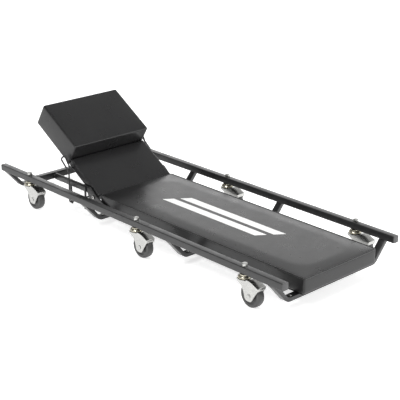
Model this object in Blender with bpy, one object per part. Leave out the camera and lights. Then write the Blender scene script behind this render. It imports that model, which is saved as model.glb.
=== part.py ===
"""Mechanics creeper: a low padded trolley on six swivel casters, with a headrest on a wire prop.

Lengths are metres and +Z is up. X runs along the rails, from the headrest (-X) to the foot end (+X).
The origin is on the floor, under the middle of the rails. "near" is the -Y side and "far" the +Y side.
"""

import math

import bmesh
import bpy
from mathutils import Matrix, Vector

GAP = 0.0003  # between two pieces that touch
CUT_PAST = 0.005  # how far a cutter runs past the piece that it cuts

# Side rails: square steel tube along X
RAIL_LENGTH = 1.160
FRAME_WIDTH = 0.432
TUBE = 0.019
TUBE_WALL = 0.0018
TUBE_CORNER = 0.0022
CAP_FLANGE = 0.0030
CAP_PLUG = 0.014
RAIL_Y = FRAME_WIDTH / 2 - TUBE / 2
RAIL_BOTTOM = 0.0786
RAIL_TOP = RAIL_BOTTOM + TUBE

# Cross straps: flat bars bent down to a shallow U under the pad
STRAP_WIDTH = TUBE
STRAP_THICK = 0.0105
STRAP_BOTTOM = 0.0225
STRAP_TOP = STRAP_BOTTOM + STRAP_THICK
STRAP_HEAD_SIDES = (-0.566, -0.187, 0.170, 0.531)
STRAP_FLAT_HALF = 0.153
STRAP_BEND = 0.022
STRAP_SLOPE = math.radians(49)

# Cross bar between the rails at the head end
HEAD_BAR_LOW_X = -0.429

# Upholstery on the frame
BOARD_X = (-0.195, 0.560)
BOARD_HALF = 0.125
BOARD_BOTTOM = STRAP_TOP + GAP
BOARD_THICK = 0.0082
PAD_X = (-0.2010, 0.574)
PAD_HALF = 0.134
PAD_BOTTOM = BOARD_BOTTOM + BOARD_THICK + GAP
PAD_TOP = 0.0824
PAD_ROUNDING = 0.006

# Headrest, measured up its slope from the lower edge of its lying face
REST_TILT = math.radians(31.5)
REST_LOWER_EDGE = Vector((-0.2044, 0, 0.0805))
REST_BOARD_HALF = 0.1355
REST_BOARD_DEPTHS = (-0.0233, -0.0143)
BACK_PAD_DEPTHS = (-0.0140, 0.0)
BACK_PAD_END = 0.148
CUSHION_SPAN = (0.149, 0.327)
CUSHION_DEPTHS = (-0.0140, 0.0488)
CUSHION_HALF = 0.1365
CUSHION_ROUNDING = 0.008
HINGE_ALONG = 0.012
PROP_PIVOT_ALONG = 0.130
REST_MID_DEPTH = sum(REST_BOARD_DEPTHS) / 2

# Side plates that carry the headrest hinge
PLATE_THICK = 0.004
PLATE_Y = 0.1392
PLATE_TOP = 0.0966
PLATE_UNDER = PLATE_TOP - TUBE
PLATE_FOOT_X = -0.166
PLATE_FOOT_LENGTH = 0.026
PLATE_FOOT_HEIGHT = 0.022
BOLT_RADIUS = 0.003
BOLT_HEAD_RADIUS = 0.0065
BOLT_HEAD_HEIGHT = 0.004
BOLT_GRIP = 0.010
HOLE_CLEARANCE = 0.0004

# Brackets on the outside of the side plates, each with two hooks: the seats of the prop's cross bar
SEAT_X = (-0.321, -0.265)
BRACKET_TOP = 0.0936
BRACKET_STRIP = 0.012
HOOK_BOTTOM = 0.0245
HOOK_LEDGE = 0.0290
HOOK_STEM = 0.0045
HOOK_SHORT = 0.0005  # how far short of the bar's middle the ledge ends
BAR_CLEARANCE = 0.0011

# Wire prop
WIRE_RADIUS = 0.0024
PROP_BAR_Z = 0.032
PROP_LEG_Y = 0.155
PROP_PIVOT_Y = 0.145
PROP_END_Y = 0.1265
PROP_EYE_TOP = (-0.3470, 0.1680)
PROP_EYE_BACK = (-0.3565, 0.1560)
PROP_LEG_TOP = (-0.3185, 0.124)

# Swivel casters, measured from the swivel axis; the wheel trails towards +X
NEAR_CASTERS_X = {"head": -0.4429, "middle": 0.0442, "foot": 0.4472}
FAR_CASTERS_X = {"head": -0.4429, "middle": -0.0342, "foot": 0.4472}
WHEEL_RADIUS = 0.03175
WHEEL_HALF = 0.0105
HUB_RADIUS = 0.0085
DISH_RADIUS = 0.0205
DISH_DEPTH = 0.0030
RIM_RADIUS = 0.0225
TREAD_EDGE = 0.0030
TREAD_HALF = 0.0050
TRAIL = 0.0275
AXLE_RADIUS = 0.003
AXLE_HEAD_RADIUS = 0.0052
AXLE_HEAD_HEIGHT = 0.0020
FORK_HALF = 0.0140
FORK_INNER_HALF = 0.0115
CROWN_RADIUS = 0.0175
CROWN_BOTTOM, CROWN_TOP = 0.0645, 0.0670
STEM_RADIUS = 0.005
STEM_CHAMFER = 0.0008
RIVET_RADIUS = 0.0075
RIVET_HEIGHT = 0.0036
RACE_BOTTOM = 0.0680
RACE_RADIUS = 0.0170
RACE_NECK_RADIUS = 0.0120
NUT_HEIGHT = 0.0072
NUT_RADIUS = 0.0075
STEM_TOP = RAIL_TOP + 0.0088


# ---------------------------------------------------------------- scene and materials


def clear_scene():
    for obj in list(bpy.data.objects):
        bpy.data.objects.remove(obj)


def new_collection(name):
    collection = bpy.data.collections.new(name)
    bpy.context.scene.collection.children.link(collection)
    return collection


def new_material(name, colour, roughness, metallic):
    material = bpy.data.materials.new(name)
    material.use_nodes = True
    shader = material.node_tree.nodes["Principled BSDF"]
    shader.inputs["Base Color"].default_value = (*colour, 1)
    shader.inputs["Roughness"].default_value = roughness
    shader.inputs["Metallic"].default_value = metallic
    return material


clear_scene()
PARTS = new_collection("mechanics_creeper")
CUTTERS = new_collection("cutters")
BLACK_PAINT = new_material("black_paint", (0.020, 0.020, 0.021), 0.35, 0.0)
BLACK_VINYL = new_material("black_vinyl", (0.022, 0.022, 0.023), 0.45, 0.0)
BLACK_BOARD = new_material("black_board", (0.012, 0.012, 0.012), 0.60, 0.0)
BLACK_PLASTIC = new_material("black_plastic", (0.030, 0.030, 0.031), 0.50, 0.0)
WHEEL_PLASTIC = new_material("wheel_plastic", (0.045, 0.045, 0.046), 0.55, 0.0)
BRIGHT_ZINC = new_material("bright_zinc", (0.72, 0.72, 0.70), 0.28, 1.0)
YELLOW_ZINC = new_material("yellow_zinc", (0.66, 0.60, 0.44), 0.32, 1.0)


# ---------------------------------------------------------------- shapes


def place(name, mesh, material, location=(0, 0, 0)):
    """A new node. The mesh is in world coordinates and is shifted so that its origin is at the location."""
    mesh.transform(Matrix.Translation(-Vector(location)))
    mesh.materials.clear()
    mesh.materials.append(material)
    obj = bpy.data.objects.new(name, mesh)
    obj.location = location
    PARTS.objects.link(obj)
    return obj


def mesh_of(bm, name="shape"):
    bmesh.ops.recalc_face_normals(bm, faces=bm.faces)
    mesh = bpy.data.meshes.new(name)
    bm.to_mesh(mesh)
    bm.free()
    return mesh


def box_mesh(low, high, rounding=0.0, segments=2):
    low, high = Vector(low), Vector(high)
    bm = bmesh.new()
    bmesh.ops.create_cube(bm, size=1)
    bmesh.ops.transform(bm, verts=bm.verts, matrix=Matrix.Diagonal((*(high - low), 1)))
    bmesh.ops.translate(bm, verts=bm.verts, vec=(low + high) / 2)
    if rounding:
        bmesh.ops.bevel(bm, geom=bm.edges[:], offset=rounding, segments=segments, profile=0.5, affect="EDGES")
    return mesh_of(bm)


def cylinder_mesh(start, end, radius, sides=16):
    start, end = Vector(start), Vector(end)
    axis = end - start
    turn = axis.to_track_quat("Z", "Y").to_matrix().to_4x4()
    bm = bmesh.new()
    bmesh.ops.create_cone(
        bm,
        cap_ends=True,
        segments=sides,
        radius1=radius,
        radius2=radius,
        depth=axis.length,
        matrix=Matrix.Translation((start + end) / 2) @ turn,
    )
    return mesh_of(bm)


def rounded(corners, closed=True, steps=3):
    """The points of a path whose corners are (point, radius), with an arc in place of each corner."""
    points = []
    for i, (corner, radius) in enumerate(corners):
        corner = Vector(corner)
        if radius == 0 or (not closed and i in (0, len(corners) - 1)):
            points.append(corner)
            continue
        back = (Vector(corners[i - 1][0]) - corner).normalized()
        ahead = (Vector(corners[(i + 1) % len(corners)][0]) - corner).normalized()
        half = back.angle(ahead) / 2
        centre = corner + (back + ahead).normalized() * radius / math.sin(half)
        first = corner + back * radius / math.tan(half) - centre
        last = corner + ahead * radius / math.tan(half) - centre
        sweep = math.pi - 2 * half
        for step in range(steps + 1):
            part = step / steps
            weights = (math.sin((1 - part) * sweep), math.sin(part * sweep))
            points.append(centre + (first * weights[0] + last * weights[1]) / math.sin(sweep))
    return points


def curve_to_mesh(curve, matrix):
    """The mesh of a curve with its caps welded on. The curve is removed."""
    guide = bpy.data.objects.new("guide", curve)
    PARTS.objects.link(guide)
    graph = bpy.context.evaluated_depsgraph_get()
    mesh = bpy.data.meshes.new_from_object(guide.evaluated_get(graph), depsgraph=graph)
    bpy.data.objects.remove(guide)
    bm = bmesh.new()
    bm.from_mesh(mesh)
    bmesh.ops.remove_doubles(bm, verts=bm.verts, dist=1e-6)
    bmesh.ops.transform(bm, verts=bm.verts, matrix=matrix)
    return mesh_of(bm)


def outline_mesh(loops, low, high, along):
    """A flat outline, filled between its loops, from low to high along X or Y.

    Along X a loop's points are (y, z), and along Y they are (x, z).
    """
    curve = bpy.data.curves.new("outline", "CURVE")
    curve.dimensions = "2D"
    curve.fill_mode = "BOTH"
    curve.extrude = (high - low) / 2
    for loop in loops:
        spline = curve.splines.new("POLY")
        spline.points.add(len(loop) - 1)
        for point, (u, v) in zip(spline.points, loop):
            point.co = (u, v, 0, 1)
        spline.use_cyclic_u = True
    middle = (low + high) / 2
    if along == "X":
        matrix = Matrix(((0, 0, 1, middle), (1, 0, 0, 0), (0, 1, 0, 0), (0, 0, 0, 1)))
    else:
        matrix = Matrix(((1, 0, 0, 0), (0, 0, -1, middle), (0, 1, 0, 0), (0, 0, 0, 1)))
    return curve_to_mesh(curve, matrix)


def wire_mesh(points, radius):
    curve = bpy.data.curves.new("wire", "CURVE")
    curve.dimensions = "3D"
    curve.bevel_depth = radius
    curve.bevel_resolution = 2
    curve.use_fill_caps = True
    spline = curve.splines.new("POLY")
    spline.points.add(len(points) - 1)
    for point, where in zip(spline.points, points):
        point.co = (*where, 1)
    return curve_to_mesh(curve, Matrix.Identity(4))


def turned_mesh(profile, centre, axis="Z", steps=24):
    """A turned shape: a closed profile of (radius, height) points, spun about an axis through the centre."""
    bm = bmesh.new()
    ring = [bm.verts.new((radius, 0, height)) for radius, height in profile]
    edges = [bm.edges.new((ring[i - 1], ring[i])) for i in range(len(ring))]
    bmesh.ops.spin(
        bm,
        geom=ring + edges,
        cent=(0, 0, 0),
        axis=(0, 0, 1),
        angle=math.tau,
        steps=steps,
        use_merge=True,
        use_normal_flip=False,
        use_duplicate=False,
    )
    bmesh.ops.remove_doubles(bm, verts=bm.verts, dist=1e-6)
    bmesh.ops.dissolve_degenerate(bm, edges=bm.edges, dist=1e-7)
    turn = Matrix.Rotation(math.radians(90), 4, "X") if axis == "Y" else Matrix.Identity(4)
    bmesh.ops.transform(bm, verts=bm.verts, matrix=Matrix.Translation(centre) @ turn)
    return mesh_of(bm)


def combine(obj, mesh, operation="DIFFERENCE"):
    """Cuts a mesh from a node, or joins it on."""
    cutter = bpy.data.objects.new(f"{obj.name}_cutter", mesh)
    cutter.hide_render = True
    cutter.display_type = "WIRE"
    CUTTERS.objects.link(cutter)
    modifier = obj.modifiers.new(operation.title(), "BOOLEAN")
    modifier.operation = operation
    modifier.object = cutter
    modifier.solver = "EXACT"


def smooth(obj):
    obj.data.shade_smooth()
    obj.data.set_sharp_from_angle(angle=math.radians(35))


def across(side, y):
    """The near side's y is negative."""
    return -y if side == "near" else y


def ordered(side, inner, outer):
    """(low y, high y) of a piece between two distances from the middle plane."""
    return tuple(sorted((across(side, inner), across(side, outer))))


# ---------------------------------------------------------------- frame


def tube_loops(u, v):
    """The outer and inner outline of the square tube, about (u, v)."""
    loops = []
    for half, corner in ((TUBE / 2, TUBE_CORNER), (TUBE / 2 - TUBE_WALL, TUBE_CORNER - TUBE_WALL / 2)):
        square = [(u - half, v - half), (u + half, v - half), (u + half, v + half), (u - half, v + half)]
        loops.append(rounded([(point, corner) for point in square], steps=2))
    return loops


def rail(side, caster_places):
    half = RAIL_LENGTH / 2 - CAP_FLANGE - GAP
    y = across(side, RAIL_Y)
    height = RAIL_BOTTOM + TUBE / 2
    obj = place(f"rail_{side}", outline_mesh(tube_loops(y, height), -half, half, "X"), BLACK_PAINT)
    for x in caster_places:
        hole = STEM_RADIUS + HOLE_CLEARANCE
        combine(obj, cylinder_mesh((x, y, RAIL_BOTTOM - CUT_PAST), (x, y, RAIL_TOP + CUT_PAST), hole))
    smooth(obj)


def rail_caps(side):
    y = across(side, RAIL_Y)
    z = RAIL_BOTTOM + TUBE / 2
    plug = TUBE / 2 - TUBE_WALL - GAP
    for end, sign in (("head", -1), ("foot", 1)):
        outer = sign * RAIL_LENGTH / 2
        seat = outer - sign * CAP_FLANGE
        flange_x = sorted((outer, seat))
        plug_x = sorted((seat + sign * CAP_FLANGE / 2, seat - sign * CAP_PLUG))
        flange = box_mesh(
            (flange_x[0], y - TUBE / 2, z - TUBE / 2), (flange_x[1], y + TUBE / 2, z + TUBE / 2), 0.0009
        )
        obj = place(f"rail_cap_{side}_{end}", flange, BLACK_PLASTIC)
        body = box_mesh((plug_x[0], y - plug, z - plug), (plug_x[1], y + plug, z + plug), TUBE_CORNER)
        combine(obj, body, "UNION")


def strap(number, low_x):
    """A flat bar bent up at both ends to the undersides of the rails."""
    top = RAIL_BOTTOM - GAP
    middle = (STRAP_BOTTOM + STRAP_TOP) / 2
    half_thick = STRAP_THICK / 2
    corner = STRAP_FLAT_HALF + STRAP_BEND * math.tan(STRAP_SLOPE / 2)
    shift = half_thick * math.tan(STRAP_SLOPE / 2)
    tip = corner + (top - middle) / math.tan(STRAP_SLOPE)
    half_cut = half_thick / math.sin(STRAP_SLOPE)
    right = [
        ((corner + shift, STRAP_BOTTOM), STRAP_BEND + half_thick),
        ((tip + half_cut, top), 0),
        ((tip - half_cut, top), 0),
        ((corner - shift, STRAP_TOP), STRAP_BEND - half_thick),
    ]
    left = [((-y, z), radius) for (y, z), radius in reversed(right)]
    loop = rounded(right + left, steps=5)
    mesh = outline_mesh([loop], low_x, low_x + STRAP_WIDTH, "X")
    place(f"cross_strap_{number}", mesh, BLACK_PAINT)


def head_bar():
    half = FRAME_WIDTH / 2 - TUBE - GAP
    loops = tube_loops(HEAD_BAR_LOW_X + TUBE / 2, RAIL_BOTTOM + TUBE / 2)
    place("head_cross_bar", outline_mesh(loops, -half, half, "Y"), BLACK_PAINT)


def side_plate(side, hinge):
    """A flat plate from the head bar, past the headrest hinge, down to the second strap."""
    head_x = HEAD_BAR_LOW_X + TUBE + GAP
    foot_z = STRAP_TOP + GAP
    corners = [
        ((head_x, PLATE_TOP), 0.002),
        ((head_x, PLATE_UNDER), 0.002),
        ((hinge.x - 0.027, PLATE_UNDER), 0.004),
        ((hinge.x - 0.020, hinge.z - 0.013), 0.006),
        ((PLATE_FOOT_X - PLATE_FOOT_LENGTH, foot_z), 0.002),
        ((PLATE_FOOT_X, foot_z), 0.002),
        ((PLATE_FOOT_X, foot_z + PLATE_FOOT_HEIGHT), 0.006),
        ((hinge.x + 0.009, hinge.z + 0.006), 0.006),
        ((hinge.x - 0.0155, PLATE_TOP), 0.004),
    ]
    y_low, y_high = ordered(side, PLATE_Y - PLATE_THICK / 2, PLATE_Y + PLATE_THICK / 2)
    obj = place(f"side_plate_{side}", outline_mesh([rounded(corners)], y_low, y_high, "Y"), BLACK_PAINT)
    start = (hinge.x, y_low - CUT_PAST, hinge.z)
    end = (hinge.x, y_high + CUT_PAST, hinge.z)
    combine(obj, cylinder_mesh(start, end, BOLT_RADIUS + HOLE_CLEARANCE))


def prop_bracket(side):
    """A strip on the side plate's outer face with a hook at each end. The hooks face each other."""
    reach = WIRE_RADIUS + BAR_CLEARANCE
    half = [
        ((SEAT_X[0] - reach - HOOK_STEM, BRACKET_TOP), 0.002),
        ((SEAT_X[0] - reach - HOOK_STEM, HOOK_BOTTOM), 0.002),
        ((SEAT_X[0] - HOOK_SHORT, HOOK_BOTTOM), 0.001),
        ((SEAT_X[0] - HOOK_SHORT, HOOK_LEDGE), 0.001),
        ((SEAT_X[0] - reach, HOOK_LEDGE), 0),
        ((SEAT_X[0] - reach, BRACKET_TOP - BRACKET_STRIP), 0.003),
    ]
    mirrored = [((sum(SEAT_X) - x, z), radius) for (x, z), radius in reversed(half)]
    inner = PLATE_Y + PLATE_THICK / 2 + GAP
    y_low, y_high = ordered(side, inner, inner + PLATE_THICK)
    mesh = outline_mesh([rounded(half + mirrored, steps=2)], y_low, y_high, "Y")
    place(f"prop_bracket_{side}", mesh, BLACK_PAINT)


def hinge_bolt(side, hinge):
    """A cap screw through the side plate into the edge of the headrest board."""
    outer = PLATE_Y + PLATE_THICK / 2 + GAP
    tip = REST_BOARD_HALF - BOLT_GRIP
    shank = outer - tip
    length = shank + BOLT_HEAD_HEIGHT
    profile = [
        (0, 0),
        (BOLT_RADIUS, 0),
        (BOLT_RADIUS, shank),
        (BOLT_HEAD_RADIUS, shank),
        (BOLT_HEAD_RADIUS - 0.0004, length - 0.001),
        (BOLT_HEAD_RADIUS - 0.0016, length),
        (0, length),
    ]
    turned = turned_mesh(profile, (0, 0, 0), steps=16)
    turn = Matrix.Rotation(math.radians(90 if side == "near" else -90), 4, "X")
    turned.transform(Matrix.Translation((hinge.x, across(side, tip), hinge.z)) @ turn)
    smooth(place(f"hinge_bolt_{side}", turned, BRIGHT_ZINC, (hinge.x, 0, hinge.z)))


# ---------------------------------------------------------------- upholstery


def main_pad():
    board = box_mesh(
        (BOARD_X[0], -BOARD_HALF, BOARD_BOTTOM), (BOARD_X[1], BOARD_HALF, BOARD_BOTTOM + BOARD_THICK), 0.001
    )
    place("base_board", board, BLACK_BOARD)
    pad = box_mesh((PAD_X[0], -PAD_HALF, PAD_BOTTOM), (PAD_X[1], PAD_HALF, PAD_TOP), PAD_ROUNDING, 3)
    smooth(place("main_pad", pad, BLACK_VINYL))


def on_headrest(along, depth, y=0.0):
    """The world place of a point on the headrest: along its slope, and above its lying face."""
    up = Vector((-math.cos(REST_TILT), 0, math.sin(REST_TILT)))
    out = Vector((math.sin(REST_TILT), 0, math.cos(REST_TILT)))
    return REST_LOWER_EDGE + up * along + out * depth + Vector((0, y, 0))


def headrest_block(name, span, depths, half, material, rounding, segments, hinge):
    """A block on the headrest's slope, with its origin on the headrest hinge."""
    mesh = box_mesh((-span[1], -half, depths[0]), (-span[0], half, depths[1]), rounding, segments)
    mesh.transform(Matrix.Translation(REST_LOWER_EDGE) @ Matrix.Rotation(REST_TILT, 4, "Y"))
    return place(name, mesh, material, hinge)


def headrest(hinge, pivot):
    board_span = (0.0, CUSHION_SPAN[1] - 0.002)
    board = headrest_block(
        "headrest_board", board_span, REST_BOARD_DEPTHS, REST_BOARD_HALF, BLACK_BOARD, 0.001, 1, hinge
    )
    for side in ("near", "far"):
        for centre, radius, inner in (
            (hinge, BOLT_RADIUS + HOLE_CLEARANCE, REST_BOARD_HALF - BOLT_GRIP - 0.002),
            (pivot, WIRE_RADIUS + HOLE_CLEARANCE, PROP_END_Y - 0.001),
        ):
            start = (centre.x, across(side, inner), centre.z)
            end = (centre.x, across(side, REST_BOARD_HALF + CUT_PAST), centre.z)
            combine(board, cylinder_mesh(start, end, radius))
    back_span = (0.0, BACK_PAD_END)
    back = headrest_block(
        "back_pad", back_span, BACK_PAD_DEPTHS, REST_BOARD_HALF, BLACK_VINYL, 0.0035, 2, hinge
    )
    cushion = headrest_block(
        "head_cushion", CUSHION_SPAN, CUSHION_DEPTHS, CUSHION_HALF, BLACK_VINYL, CUSHION_ROUNDING, 3, hinge
    )
    smooth(back)
    smooth(cushion)


def prop_bail(pivot):
    """One wire: an end in the board's edge, an eye, a leg and the cross bar, then back up the far side."""
    half = [
        ((pivot.x, -PROP_END_Y, pivot.z), 0),
        ((pivot.x, -PROP_PIVOT_Y, pivot.z), 0.004),
        ((PROP_EYE_TOP[0], -PROP_PIVOT_Y - 0.003, PROP_EYE_TOP[1]), 0.006),
        ((PROP_EYE_BACK[0], -PROP_LEG_Y + 0.001, PROP_EYE_BACK[1]), 0.006),
        ((PROP_LEG_TOP[0], -PROP_LEG_Y, PROP_LEG_TOP[1]), 0.010),
        ((SEAT_X[0], -PROP_LEG_Y, PROP_BAR_Z), 0.006),
    ]
    mirrored = [((x, -y, z), radius) for (x, y, z), radius in reversed(half)]
    points = rounded(half + mirrored, closed=False, steps=4)
    smooth(place("prop_bail", wire_mesh(points, WIRE_RADIUS), BLACK_PAINT, pivot))


# ---------------------------------------------------------------- casters


def fork(name, swivel):
    """A fork folded from sheet: two cheeks joined over the wheel, and a round crown on the swivel axis.

    The outlines are (x, z) from the swivel axis and the floor.
    """
    cheek = [
        ((-0.0140, CROWN_TOP), 0),
        ((-0.0140, 0.0615), 0.002),
        ((0.0020, 0.0520), 0.006),
        ((0.0100, 0.0390), 0.010),
        ((0.0152, 0.0175), 0.011),
        ((0.0360, 0.0175), 0.011),
        ((0.0440, 0.0320), 0.010),
        ((0.0570, 0.0520), 0),
        ((0.0570, 0.0590), 0.002),
        ((0.0370, 0.0680), 0.010),
        ((0.0250, 0.0708), 0.006),
        ((0.0182, 0.0705), 0.002),
        ((0.0160, CROWN_TOP), 0),
    ]
    hollow = [
        ((-0.0300, CROWN_BOTTOM), 0),
        ((-0.0300, 0), 0),
        ((0.0552, 0), 0),
        ((0.0552, 0.0570), 0),
        ((0.0365, 0.0655), 0.006),
        ((0.0230, 0.0684), 0.004),
        ((0.0180, CROWN_BOTTOM), 0.001),
    ]
    body = outline_mesh([rounded(cheek, steps=2)], -FORK_HALF, FORK_HALF, "Y")
    crown = cylinder_mesh((0, 0, CROWN_BOTTOM), (0, 0, CROWN_TOP), CROWN_RADIUS, 20)
    inside = outline_mesh([rounded(hollow, steps=2)], -FORK_INNER_HALF, FORK_INNER_HALF, "Y")
    stem_hole = cylinder_mesh(
        (0, 0, CROWN_BOTTOM - CUT_PAST), (0, 0, CROWN_TOP + CUT_PAST), STEM_RADIUS + HOLE_CLEARANCE
    )
    axle_hole = cylinder_mesh(
        (TRAIL, -FORK_HALF - CUT_PAST, WHEEL_RADIUS),
        (TRAIL, FORK_HALF + CUT_PAST, WHEEL_RADIUS),
        AXLE_RADIUS + HOLE_CLEARANCE,
        12,
    )
    obj = place(f"{name}_fork", body, BRIGHT_ZINC)
    combine(obj, crown, "UNION")
    for cutter in (inside, stem_hole, axle_hole):
        combine(obj, cutter)
    for moved in [obj] + [modifier.object for modifier in obj.modifiers]:
        moved.location = swivel


def both_ways(half):
    """A turned profile from its upper half, mirrored to below its middle."""
    return half + [(radius, -height) for radius, height in reversed(half)]


def axle(name, centre):
    """A rivet through both cheeks, with a head on each side."""
    reach = FORK_HALF + GAP
    profile = both_ways(
        [
            (0, reach + AXLE_HEAD_HEIGHT),
            (AXLE_HEAD_RADIUS - 0.0012, reach + AXLE_HEAD_HEIGHT),
            (AXLE_HEAD_RADIUS, reach + AXLE_HEAD_HEIGHT - 0.0012),
            (AXLE_HEAD_RADIUS, reach),
            (AXLE_RADIUS, reach),
        ]
    )
    smooth(place(f"{name}_axle", turned_mesh(profile, centre, "Y", 12), BRIGHT_ZINC, centre))


def wheel(name, centre):
    """A solid wheel with a hub, a shallow dish on both sides and a rounded tread."""
    profile = both_ways(
        [
            (AXLE_RADIUS + HOLE_CLEARANCE, WHEEL_HALF),
            (HUB_RADIUS, WHEEL_HALF),
            (DISH_RADIUS, WHEEL_HALF - DISH_DEPTH),
            (RIM_RADIUS, WHEEL_HALF - 0.0004),
            (WHEEL_RADIUS - TREAD_EDGE, WHEEL_HALF - 0.0008),
            (WHEEL_RADIUS, TREAD_HALF),
        ]
    )
    smooth(place(f"{name}_wheel", turned_mesh(profile, centre, "Y", 20), WHEEL_PLASTIC, centre))


def race(name, swivel):
    """The cup of the swivel bearing, domed from the fork's crown up to the rail."""
    bore = STEM_RADIUS + HOLE_CLEARANCE
    profile = [
        (bore, RACE_BOTTOM),
        (RACE_RADIUS - 0.0015, RACE_BOTTOM),
        (RACE_RADIUS, RACE_BOTTOM + 0.0025),
        (RACE_RADIUS - 0.0030, RACE_BOTTOM + 0.0062),
        (RACE_NECK_RADIUS, RAIL_BOTTOM - GAP),
        (bore, RAIL_BOTTOM - GAP),
    ]
    smooth(place(f"{name}_race", turned_mesh(profile, swivel, steps=16), YELLOW_ZINC, swivel))


def stem(name, swivel):
    """The pin of the swivel: riveted under the fork's crown, and standing out above the rail."""
    rivet_top = CROWN_BOTTOM - GAP
    profile = [
        (0, rivet_top - RIVET_HEIGHT),
        (RIVET_RADIUS - 0.0020, rivet_top - RIVET_HEIGHT),
        (RIVET_RADIUS, rivet_top - RIVET_HEIGHT / 2),
        (RIVET_RADIUS, rivet_top),
        (STEM_RADIUS, rivet_top),
        (STEM_RADIUS, STEM_TOP - STEM_CHAMFER),
        (STEM_RADIUS - STEM_CHAMFER, STEM_TOP),
        (0, STEM_TOP),
    ]
    smooth(place(f"{name}_stem", turned_mesh(profile, swivel, steps=12), BRIGHT_ZINC, swivel))


def nut(name, x, y):
    low, high = RAIL_TOP + GAP, RAIL_TOP + GAP + NUT_HEIGHT
    obj = place(f"{name}_nut", cylinder_mesh((x, y, low), (x, y, high), NUT_RADIUS, 6), BRIGHT_ZINC)
    thread = cylinder_mesh(
        (x, y, low - CUT_PAST), (x, y, high + CUT_PAST), STEM_RADIUS + HOLE_CLEARANCE, 12
    )
    combine(obj, thread)


def caster(name, x, y):
    swivel = Vector((x, y, 0))
    centre = Vector((x + TRAIL, y, WHEEL_RADIUS))
    fork(name, swivel)
    axle(name, centre)
    wheel(name, centre)
    race(name, swivel)
    stem(name, swivel)
    nut(name, x, y)


# ---------------------------------------------------------------- assembly


def build():
    hinge = on_headrest(HINGE_ALONG, REST_MID_DEPTH)
    pivot = on_headrest(PROP_PIVOT_ALONG, REST_MID_DEPTH)
    for side, places in (("near", NEAR_CASTERS_X), ("far", FAR_CASTERS_X)):
        rail(side, places.values())
        rail_caps(side)
        side_plate(side, hinge)
        prop_bracket(side)
        hinge_bolt(side, hinge)
        for where, x in places.items():
            caster(f"caster_{side}_{where}", x, across(side, RAIL_Y))
    for number, low_x in enumerate(STRAP_HEAD_SIDES, start=1):
        strap(number, low_x)
    head_bar()
    main_pad()
    headrest(hinge, pivot)
    prop_bail(pivot)


build()
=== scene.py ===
"""Looks of the mechanics creeper: every shown piece is made here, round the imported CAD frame.

Lengths are metres, in the frame's own axes: +X to the foot end, +Y to the far rail, +Z up.
"""

import math

import bmesh
import bpy
from mathutils import Matrix, Vector
from mathutils.bvhtree import BVHTree

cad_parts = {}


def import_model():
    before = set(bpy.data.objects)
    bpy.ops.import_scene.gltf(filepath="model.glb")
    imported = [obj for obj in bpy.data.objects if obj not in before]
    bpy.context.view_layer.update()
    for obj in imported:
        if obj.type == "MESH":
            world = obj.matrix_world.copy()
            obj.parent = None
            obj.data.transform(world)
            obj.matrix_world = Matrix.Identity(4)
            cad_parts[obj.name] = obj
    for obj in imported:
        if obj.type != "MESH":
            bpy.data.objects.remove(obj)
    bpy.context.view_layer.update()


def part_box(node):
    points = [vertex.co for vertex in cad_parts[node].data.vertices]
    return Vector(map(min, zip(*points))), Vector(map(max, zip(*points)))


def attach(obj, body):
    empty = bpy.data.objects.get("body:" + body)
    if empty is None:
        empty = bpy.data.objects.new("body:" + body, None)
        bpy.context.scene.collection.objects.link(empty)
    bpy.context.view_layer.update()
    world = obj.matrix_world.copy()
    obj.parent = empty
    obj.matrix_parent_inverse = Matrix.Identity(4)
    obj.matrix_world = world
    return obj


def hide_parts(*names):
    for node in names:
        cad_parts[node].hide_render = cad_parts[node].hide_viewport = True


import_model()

SIDES = {"near": -1, "far": 1}

# Camera and light
CAMERA_PLACE = (2.1173, -1.9104, 1.1723)
CAMERA_AZIMUTH, CAMERA_ELEVATION = 46.99, 20.825
CAMERA_LENS, CAMERA_SENSOR = 98.47, 36.0
FLOOR_HALF, FLOOR_GLOW = 9, 0.65

# Strength of the surround by a ray's direction: from and to a component, then the two strengths
SURROUND = {"Z": (0.22, 0.52, 2.4, 0.5), "Y": (-0.25, 0.25, 0.30, 1.0)}

# Steel sections, as in the CAD
TUBE_CORNER, TUBE_WALL = 0.0022, 0.0018
TUBE, STRAP_THICK = 0.019, 0.0105
STRAPS = range(1, 5)
STRAP_FLAT_HALF, STRAP_BEND, STRAP_SLOPE, STRAP_CUT = 0.153, 0.022, math.radians(49), 0.0137
STEEL_ROUNDING, PLATE_ROUNDING = 0.0016, 0.0004
PLATE_FOOT_X, PLATE_FOOT_LENGTH, PLATE_FOOT_HEIGHT = -0.166, 0.026, 0.022
BRACKET_STRIP, HOOK_SHORT, HOOK_LEDGE, BAR_CLEARANCE = 0.012, 0.0005, 0.0290, 0.0011
SEAT_X = (-0.321, -0.265)
CLEARANCE, GAP, CUT_PAST = 0.0004, 0.0003, 0.005

# Rail caps, and the screws of the straps and of the hinge
CAP_FLANGE, CAP_BODY, CAP_CORNER, CAP_ROUNDING, CAP_BODY_ROUNDING = 0.003, 0.0138, 0.0024, 0.0008, 0.0015
SCREW_Y, SCREW_RADIUS, SCREW_TALL, SCREW_SLOT_HALF, SCREW_SLOT_DEPTH = 0.1455, 0.0042, 0.0024, 0.0005, 0.0010
BOLT_RADIUS, BOLT_HEAD_RADIUS, BOLT_HEAD = 0.003, 0.0065, 0.004
BOLT_SOCKET_RADIUS, BOLT_SOCKET_DEPTH, BOLT_HOLE_DEPTH = 0.0030, 0.0022, 0.012

# Weld beads: balls in a row, swelling and shrinking by a share, then melted into one bead
BEAD_SUNK, BEAD_STEP, BEAD_SWELL, BEAD_RIPPLE, BEAD_VOXEL = 0.0002, 0.0011, 0.12, 2.1, 0.00045
BEAD_INSET, BAR_BEAD_INSET, BRACKET_BEAD_INSET = 0.0015, 0.003, 0.004
BEAD_RADIUS, PLATE_BEAD_RADIUS, BRACKET_BEAD_RADIUS = 0.0013, 0.0012, 0.0011

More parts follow.
